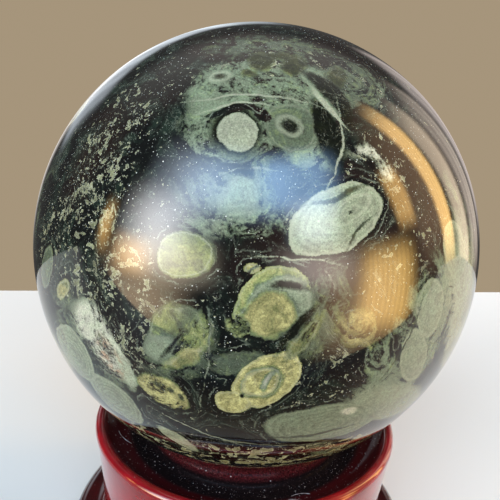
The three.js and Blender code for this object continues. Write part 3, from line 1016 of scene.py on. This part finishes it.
def stand_section(stand):
    """Half the stand's outline in metres, from the middle of its underside to the middle of its well."""
    foot, foot_top = stand.foot_radius, stand.foot_height
    base_round = (foot - FOOT_BASE_ROUND, FOOT_BASE_ROUND)
    top_round = (foot - FOOT_TOP_ROUND, foot_top - FOOT_TOP_ROUND)
    waist = (stand.waist_radius, WAIST_HEIGHT)
    lip = (stand.lip_radius - LIP_ROUND, stand.height - LIP_ROUND)
    groove = (stand.groove_radius, GROOVE_HEIGHT)
    seat_reach = SPHERE_RADIUS + SPHERE_GAP + RING_ROUND
    ring = (stand.ring_radius, SPHERE_HEIGHT - math.sqrt(seat_reach ** 2 - stand.ring_radius ** 2))
    well = (stand.ring_radius - RING_ROUND - WELL_ROUND, WELL_FLOOR_HEIGHT + WELL_ROUND)
    return [
        (0.0, 0.0),
        *arc(base_round, FOOT_BASE_ROUND, -90, 0, 5),
        *arc(top_round, FOOT_TOP_ROUND, 0, 90, 12),
        *bend((top_round[0], foot_top), (stand.waist_radius, foot_top), waist, 12),
        *bend(waist, WALL_BEND, point_at(lip, LIP_ROUND, LIP_OUTER_ANGLE), 12),
        *arc(lip, LIP_ROUND, LIP_OUTER_ANGLE, LIP_INNER_ANGLE, 14),
        *bend(point_at(lip, LIP_ROUND, LIP_INNER_ANGLE), SLOPE_BEND, groove, 14),
        *arc(ring, RING_ROUND, RING_OUTER_ANGLE, 180, 16),
        *arc(well, WELL_ROUND, 0, -90, 6),
        (0.0, WELL_FLOOR_HEIGHT),
    ]


def height_on(section, radius):
    """The height of the dish at a radius, from the stretch of the section between the lip and the ring."""
    lip = max(range(len(section)), key=lambda number: section[number][1])
    for outer, inner in zip(section[lip:], section[lip + 1:]):
        if inner[0] <= radius <= outer[0]:
            share = (radius - inner[0]) / max(outer[0] - inner[0], 1e-9)
            return inner[1] + (outer[1] - inner[1]) * share
    raise ValueError(f"The dish has no place at a radius of {radius}")


class JASPER_OT_polish_sphere(bpy.types.Operator):
    """Make the polished jasper sphere"""

    bl_idname = "jasper.polish_sphere"
    bl_label = "Polish the Sphere"

    def execute(self, context):
        settings = context.scene.jasper_sphere
        centre = Vector((0, 0, settings.centre_height))
        bm = bmesh.new()
        bmesh.ops.create_icosphere(
            bm,
            subdivisions=settings.smoothness,
            radius=settings.radius,
            matrix=Matrix.Translation(centre),
        )
        for face in bm.faces:
            face.material_index = zone_of(face.calc_center_median() - centre)
        unseen = unseen_markings(settings.seed, settings.radius / MM)
        finishes = [jasper_material(settings, zone, unseen) for zone in ZONES]
        piece = finished_piece("polished_sphere", bm, finishes)
        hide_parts("jasper_sphere")
        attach(piece, "root")
        return {"FINISHED"}


class JASPER_OT_turn_stand(bpy.types.Operator):
    """Turn the lacquered wooden stand"""

    bl_idname = "jasper.turn_stand"
    bl_label = "Turn the Stand"

    def execute(self, context):
        stand = context.scene.jasper_stand
        bm = bmesh.new()
        for radius, height in stand_section(stand):
            bm.verts.new((radius, 0.0, height))
        bmesh.ops.remove_doubles(bm, verts=bm.verts, dist=WELD_DISTANCE)
        corners = list(bm.verts)
        edges = [bm.edges.new(pair) for pair in zip(corners, corners[1:])]
        bmesh.ops.spin(
            bm,
            geom=[*corners, *edges],
            cent=(0, 0, 0),
            axis=(0, 0, 1),
            angle=math.tau,
            steps=stand.sides,
            use_merge=True,
        )
        piece = finished_piece("turned_stand", bm, [lacquer_material(stand)])
        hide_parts("wooden_stand")
        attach(piece, "root")
        return {"FINISHED"}


BIG_GRAIN_SHARE = 0.06
FIBRE_THICKNESS = 0.055 * MM
FIBRE_ARCH = 0.25 * MM  # how far the middle of a fibre stands off the dish
FIBRE_STEPS = 13


class JASPER_OT_scatter_dust(bpy.types.Operator):
    """Scatter dust and lint over the dish of the stand"""

    bl_idname = "jasper.scatter_dust"
    bl_label = "Scatter Dust"

    def execute(self, context):
        stand = context.scene.jasper_stand
        rng = random.Random(stand.seed)
        section = stand_section(stand)
        inner, outer = stand.groove_radius - 0.2 * MM, stand.lip_radius - 2.6 * MM
        lint = lint_material()

        bm = bmesh.new()
        for _ in range(stand.grains):
            self.add_grain(bm, rng, section, inner, outer)
        grains = finished_piece("dust_grains", bm, [lint])
        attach(grains, "root")

        bm = bmesh.new()
        for _ in range(stand.fibres):
            self.add_fibre(bm, rng, section, inner, outer)
        fibres = finished_piece("lint_fibres", bm, [lint])
        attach(fibres, "root")
        return {"FINISHED"}

    def add_grain(self, bm, rng, section, inner, outer):
        """An uneven grain that lies on the dish. Most lie near the groove, and a few are twice as big."""
        radius = inner + (outer - inner) * rng.random() ** 1.6
        angle = rng.uniform(0.0, math.tau)
        size = rng.uniform(0.03, 0.075) * MM * (2.0 if rng.random() < BIG_GRAIN_SHARE else 1.0)
        place = (radius * math.cos(angle), radius * math.sin(angle), height_on(section, radius) + size * 0.4)
        tilt = Matrix.Rotation(rng.uniform(0.0, math.tau), 4, (rng.random(), rng.random(), 1.0))
        stretch = Matrix.Diagonal((rng.uniform(0.7, 1.6), rng.uniform(0.7, 1.3), rng.uniform(0.5, 1.0), 1.0))
        matrix = Matrix.Translation(place) @ tilt @ stretch
        bmesh.ops.create_icosphere(bm, subdivisions=1, radius=size, matrix=matrix)

    def add_fibre(self, bm, rng, section, inner, outer):
        """A thin curled thread of six-sided section that lies along the dish."""
        radius = rng.uniform(inner + 1.5 * MM, outer - 1.0 * MM)
        angle, heading = rng.uniform(0.0, math.tau), rng.uniform(0.0, math.tau)
        curl = rng.uniform(-0.5, 0.5)
        x, y = radius * math.cos(angle), radius * math.sin(angle)
        step = rng.uniform(0.25, 0.45) * MM
        ring = None
        for number in range(FIBRE_STEPS + 1):
            reach = min(max(math.hypot(x, y), inner), outer)
            turn = reach / math.hypot(x, y)
            x, y = x * turn, y * turn
            arch = FIBRE_ARCH * math.sin(math.pi * number / FIBRE_STEPS)
            matrix = (
                Matrix.Translation((x, y, height_on(section, reach) + FIBRE_THICKNESS + arch))
                @ Matrix.Rotation(heading, 4, "Z")
                @ Matrix.Rotation(RIGHT_ANGLE, 4, "Y")
            )
            made = bmesh.ops.create_circle(
                bm, cap_ends=number in (0, FIBRE_STEPS), segments=6, radius=FIBRE_THICKNESS, matrix=matrix)
            edges = list(dict.fromkeys(edge for vert in made["verts"] for edge in vert.link_edges))
            if ring:
                bmesh.ops.bridge_loops(bm, edges=ring + edges)
            ring = edges
            x += step * math.cos(heading)
            y += step * math.sin(heading)
            heading += curl + rng.uniform(-0.2, 0.2)


# Studio

FRAME_WIDTH = 36.0  # mm, of the camera's frame
NEAREST_SEEN = 5 * MM
CARD_LIFT = 2 * MM  # of the dark card off the table
# Painted shade on the table's near end, seen only by mirrored rays: its colour and its middle
DARK = (0.05, 0.05, 0.05)
NEAR_SHADE_SPOT = (0.0, -0.17, 0.0)  # the middle of the table's dark near end, in metres


class JASPER_OT_set_studio(bpy.types.Operator):
    """Set the camera, the plain table and the soft light"""

    bl_idname = "jasper.set_studio"
    bl_label = "Set the Studio"

    def execute(self, context):
        scene = context.scene
        studio = scene.jasper_studio
        scene.camera = self.add_camera(scene, studio)
        self.add_table_top(studio)
        self.add_dark_card(studio)
        scene.world = studio_world(studio)
        scene.view_settings.view_transform = "Standard"
        return {"FINISHED"}

    def add_camera(self, scene, studio):
        camera = bpy.data.cameras.new("camera")
        camera.lens = studio.lens
        camera.sensor_width = FRAME_WIDTH
        camera.sensor_fit = "HORIZONTAL"
        camera.clip_start = NEAREST_SEEN
        holder = bpy.data.objects.new("camera", camera)
        holder.location = studio.camera_place
        aim = Matrix.Rotation(studio.camera_turn, 4, "Z")
        tip = Matrix.Rotation(RIGHT_ANGLE - studio.camera_pitch, 4, "X")
        lean = Matrix.Rotation(studio.camera_roll, 4, "Z")
        holder.rotation_euler = (aim @ tip @ lean).to_euler()
        scene.collection.objects.link(holder)
        return holder

    def add_table_top(self, studio):
        depth = studio.floor_far_edge + studio.floor_near_edge
        bm = bmesh.new()
        bmesh.ops.create_grid(bm, x_segments=2, y_segments=2, size=0.5)
        bmesh.ops.scale(bm, verts=bm.verts, vec=(studio.floor_length, depth, 1))
        bmesh.ops.translate(bm, verts=bm.verts, vec=(0, studio.floor_far_edge - depth / 2, 0))
        turn = Matrix.Rotation(studio.floor_turn, 3, "Z")
        bmesh.ops.rotate(bm, verts=bm.verts, cent=(0, 0, 0), matrix=turn)
        floor = finished_piece("table_top", bm, [table_material(studio)])

    def add_dark_card(self, studio):
        """A card that keeps the low front of the stand in shade, and that neither camera nor mirrors see."""
        lift = studio.shade_size[1] / 2 + CARD_LIFT
        bm = bmesh.new()
        bmesh.ops.create_grid(bm, x_segments=1, y_segments=1, size=0.5)
        bmesh.ops.scale(bm, verts=bm.verts, vec=(*studio.shade_size, 1))
        bmesh.ops.rotate(bm, verts=bm.verts, cent=(0, 0, 0), matrix=Matrix.Rotation(RIGHT_ANGLE, 3, "X"))
        bmesh.ops.translate(bm, verts=bm.verts, vec=(0, -studio.shade_distance, lift))
        shade = finished_piece("front_shade", bm, [card_material()])
        shade.visible_camera = False
        shade.visible_glossy = False


def card_material():
    material, w, shader = new_material("black_card")
    w.feed(shader, {"Base Color": (0.02, 0.02, 0.02), "Roughness": 0.9})
    return material


def table_material(studio):
    material, w, shader = new_material("pale_table_top")
    place = w.object_place()
    patch = w.noise(place, scale=6.0, detail=3.0)
    pale = tuple(studio.floor)
    colour = w.mix_colours(w.step(patch, 0.3, 0.7), pale, tuple(c * 0.97 for c in pale))
    sideways, away, _ = w.separate(place)
    # Painted light: the table is painted lighter towards the right.
    colour = w.scaled(colour, w.step(sideways, -0.12, 0.12, 0.94, 1.10))

    # Painted shade: the polished stone and lacquer mirror the table's near end painted dark, as if it lay in
    # shade, which the camera doesn't see.
    mirrored_shade = w.step(w.vector("DISTANCE", place, NEAR_SHADE_SPOT), 0.175, 0.06)
    mirrored_shade = w.highest(mirrored_shade, w.step(away, -0.03, -0.105))
    mirrored = w.node("ShaderNodeLightPath", {}, out="Is Glossy Ray")
    colour = w.mix_colours(w.times(mirrored, mirrored_shade), colour, DARK)
    w.feed(shader, {"Base Color": colour, "Roughness": 0.5})
    return material


class SoftLight(NamedTuple):
    """A soft area of light round the object. Its azimuth is from behind the camera, positive to the right."""

    name: str
    azimuth: float  # this and the next three are in degrees
    elevation: float
    half_width: float
    half_height: float
    softness: float  # as a share of its size
    pleats: int
    colour: tuple
    brightness: float


SOFT_LIGHTS = (
    SoftLight("left_white", -49, 14, 12, 12, 0.95, 0, (0.98, 0.98, 0.98), 12.5),
    SoftLight("left_high", -38, 33, 14, 15, 0.95, 0, (0.70, 0.82, 1.0), 7.2),
    SoftLight("middle_high", -14, 41, 19, 12, 0.8, 0, (0.42, 0.68, 1.0), 8.5),
    SoftLight("right_high", 23, 42, 15, 12, 0.6, 0, (0.36, 0.63, 1.0), 10.0),
    SoftLight("right_under_high", 28, 24, 9, 8, 0.8, 0, (0.82, 0.92, 1.0), 10.0),
    SoftLight("left_amber", -58, 1, 8, 6, 0.9, 0, (1.0, 0.62, 0.26), 13.0),
    SoftLight("left_amber_inner", -37, 3, 14, 8, 0.95, 0, (1.0, 0.85, 0.64), 8.5),
    SoftLight("left_amber_outer", -75, 8, 3, 7, 0.9, 0, (1.0, 0.60, 0.20), 8.0),
    SoftLight("left_low", -52, -14, 16, 11, 0.9, 0, (1.0, 0.74, 0.48), 5.4),
    SoftLight("right_pale", 29, 4, 14, 8, 0.9, 0, (1.0, 0.83, 0.74), 6.0),
    SoftLight("right_band", 104, 24, 4.5, 26, 0.4, 5, (1.0, 0.62, 0.22), 9.5),
    SoftLight("right_band_inner", 78, 25, 5, 10, 0.45, 5, (1.0, 0.59, 0.19), 9.0),
    SoftLight("right_band_between", 92, 26, 10, 26, 0.6, 0, (1.0, 0.62, 0.35), 1.5),
    SoftLight("right_square", 64, -7, 13, 15, 0.5, 10, (1.0, 0.61, 0.17), 10.5),
    SoftLight("right_square_haze", 51, -12, 16, 18, 0.9, 0, (1.0, 0.66, 0.36), 4.2),
    SoftLight("right_far_band", 118, 14, 6, 26, 0.4, 0, (1.0, 0.80, 0.58), 3.2),
    SoftLight("right_farther_band", 134, 12, 7, 22, 0.35, 3, (1.0, 0.84, 0.70), 1.3),
    SoftLight("behind_right", 153, 10, 9, 16, 0.3, 3, (1.0, 0.86, 0.80), 0.8),
    SoftLight("behind_left", -157, 17, 20, 9, 0.35, 5, (0.78, 0.86, 0.95), 1.4),
    SoftLight("behind_left_low", -156, 2, 9, 12, 0.5, 2, (1.0, 0.93, 0.88), 0.9),
    SoftLight("above_behind", 180, 66, 40, 16, 0.8, 0, (1.0, 0.95, 0.88), 0.6),
)
LEAST_AHEAD = 0.05  # a direction less ahead of a light than this lies outside it


def soft_strength(w, toward, light):
    """How brightly a light shines in each direction: a soft-edged rectangle, with upright pleats in some."""
    seen = w.mapping(toward, turn=axes_turn(light.azimuth, light.elevation, 0))
    seen.node.label = light.name
    across, up, ahead = w.separate(seen)
    before = w.math("GREATER_THAN", ahead, LEAST_AHEAD)
    ahead = w.highest(ahead, LEAST_AHEAD)
    across, up = w.math("DIVIDE", across, ahead), w.math("DIVIDE", up, ahead)
    half_width = math.tan(math.radians(light.half_width))
    half_height = math.tan(math.radians(light.half_height))
    edges = []
    for value, half in ((across, half_width), (up, half_height)):
        edges.append(w.step(w.size_of(value), half * (1 + light.softness), half * (1 - light.softness)))
    strength = w.times(w.times(edges[0], edges[1]), w.times(before, light.brightness))
    if light.pleats:
        folds = w.math("SINE", w.times(across, light.pleats * math.pi / half_width))
        strength = w.times(strength, w.times_add(folds, 0.14, 0.92))
    return strength


def studio_world(studio):
    """Light from all round. The camera sees the plain backdrop in its place."""
    world = bpy.data.worlds.new("plain_studio")
    world.use_nodes = True
    w = Wiring(world.node_tree)
    w.tree.nodes.clear()
    toward = w.node("ShaderNodeTexCoord", {}, out="Generated")
    shining = tuple(studio.room)
    for light in SOFT_LIGHTS:
        strength = soft_strength(w, toward, light)
        shining = w.vector("ADD", shining, w.scaled(light.colour, strength))
    rays = w.node("ShaderNodeLightPath", {}).node.outputs
    shown = w.mix_colours(rays["Is Camera Ray"], shining, tuple(studio.backdrop))
    fill = w.times_add(rays["Is Diffuse Ray"], studio.fill - 1.0, 1.0)
    background = w.node("ShaderNodeBackground", {0: shown, 1: fill})
    w.node("ShaderNodeOutputWorld", {0: background})
    return world


# Panel and start

SECTIONS = {
    "jasper_sphere": ("jasper.polish_sphere",),
    "jasper_stand": ("jasper.turn_stand", "jasper.scatter_dust"),
    "jasper_studio": ("jasper.set_studio",),
}


class JASPER_PT_panel(bpy.types.Panel):
    """Lists the settings and the buttons that make the pieces"""

    bl_idname = "JASPER_PT_panel"
    bl_label = "Jasper Sphere"
    bl_space_type = "VIEW_3D"
    bl_region_type = "UI"
    bl_category = "Jasper"

    def draw(self, context):
        for group, operators in SECTIONS.items():
            settings = getattr(context.scene, group)
            column = self.layout.column(align=True)
            for name in settings.bl_rna.properties.keys():
                if name not in {"rna_type", "name"}:
                    column.prop(settings, name)
            for operator in operators:
                column.operator(operator)


CLASSES = (
    JasperSphereSettings,
    StandSettings,
    StudioSettings,
    JASPER_OT_polish_sphere,
    JASPER_OT_turn_stand,
    JASPER_OT_scatter_dust,
    JASPER_OT_set_studio,
    JASPER_PT_panel,
)


def register():
    for cls in CLASSES:
        bpy.utils.register_class(cls)
    bpy.types.Scene.jasper_sphere = PointerProperty(type=JasperSphereSettings)
    bpy.types.Scene.jasper_stand = PointerProperty(type=StandSettings)
    bpy.types.Scene.jasper_studio = PointerProperty(type=StudioSettings)


def unregister():
    del bpy.types.Scene.jasper_studio
    del bpy.types.Scene.jasper_stand
    del bpy.types.Scene.jasper_sphere
    for cls in reversed(CLASSES):
        bpy.utils.unregister_class(cls)


def main():
    register()
    bpy.ops.jasper.set_studio()
    bpy.ops.jasper.turn_stand()
    bpy.ops.jasper.scatter_dust()
    bpy.ops.jasper.polish_sphere()


if __name__ == "__main__":
    main()
